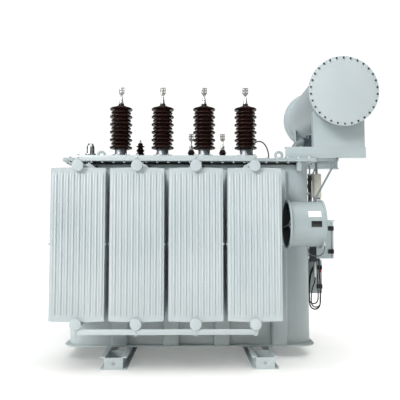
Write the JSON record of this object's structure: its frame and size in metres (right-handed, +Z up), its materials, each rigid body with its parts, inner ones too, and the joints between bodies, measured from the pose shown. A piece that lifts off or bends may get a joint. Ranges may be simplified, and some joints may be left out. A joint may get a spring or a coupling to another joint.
{
  "type": "oil-filled power transformer",
  "caption": "Oil-filled power transformer with fluted panel radiators, brown shedded bushings, a side conservator on saddles, a cooling fan and end-wall cabinets, on channel skids.",
  "frame": {"origin": "on the ground below the middle of the tank", "axes": "+X along the tank towards the conservator end, -Y towards the high-voltage radiator side, +Z up"},
  "size_m": [3.339, 2.26, 3.169],
  "materials": {
    "bare_metal": "satin",
    "body_paint": "satin",
    "black_fitting": "matte",
    "cable_black": "matte",
    "dark_glass": "gloss",
    "porcelain": "gloss",
    "cream_glass": "gloss"
  },
  "bodies": {
    "transformer": {"breather_cup": "bare_metal", "cabinet_hinges": "black_fitting", "cable_glands": "cable_black", "conservator_beams": "body_paint", "conservator_braces": "body_paint", "conservator_front_cap": "body_paint", "conservator_rear_cap": "body_paint", "conservator_saddles": "body_paint", "conservator_shell": "body_paint", "control_cabinet": "body_paint", "cover_lead": "cable_black", "drive_box": "body_paint", "drive_hinges": "black_fitting", "fan_brackets": "body_paint", "fan_casing": "body_paint", "fan_conduit": "bare_metal", "fan_motor": "body_paint", "front_radiator_1": "body_paint", "front_radiator_2": "body_paint", "front_radiator_3": "body_paint", "front_radiator_4": "body_paint", "gas_relay": "body_paint", "glass_breather": "dark_glass", "glass_breather_caps": "bare_metal", "hv_bushing_bases": "bare_metal", "hv_collars": "black_fitting", "hv_porcelains": "porcelain", "hv_terminals": "bare_metal", "left_skid": "body_paint", "lifting_lugs": "body_paint", "loop_cable_1": "cable_black", "loop_cable_2": "cable_black", "loop_cable_3": "cable_black", "lv_bushing_feet": "bare_metal", "lv_porcelains": "porcelain", "lv_terminals": "bare_metal", "main_breather": "cream_glass", "oil_pipes": "body_paint", "pressure_relief_valve": "body_paint", "radiator_tie_bars": "body_paint", "radiator_valves": "body_paint", "rear_radiator_1": "body_paint", "rear_radiator_2": "body_paint", "rear_radiator_3": "body_paint", "rear_radiator_4": "body_paint", "right_skid": "body_paint", "tank_cover": "body_paint", "tank_floor": "body_paint", "tank_front_wall": "body_paint", "tank_left_end": "body_paint", "tank_rear_wall": "body_paint", "tank_right_end": "body_paint", "tank_rim": "body_paint", "wall_brackets": "body_paint", "wall_stiffeners": "body_paint"},
    "cabinet_door": {"cabinet_door": "body_paint", "cabinet_door_hinges": "black_fitting"},
    "drive_door": {"drive_door": "body_paint", "drive_door_hinges": "black_fitting"},
    "fan_rotor": {"fan_rotor": "body_paint"}
  },
  "joints": [
    {"name": "cabinet_door_swing", "type": "hinge", "parent": "transformer", "child": "cabinet_door", "pos_m": [1.575, -0.367, 1.226], "axis": [0, 0, -1], "range_deg": [0, 110]},
    {"name": "drive_door_swing", "type": "hinge", "parent": "transformer", "child": "drive_door", "pos_m": [1.505, -0.117, 0.797], "axis": [0, 0, -1], "range_deg": [0, 110]},
    {"name": "fan_spin", "type": "hinge", "parent": "transformer", "child": "fan_rotor", "pos_m": [1.046, -0.845, 1.394], "axis": [1, 0, 0], "continuous": true}
  ]
}
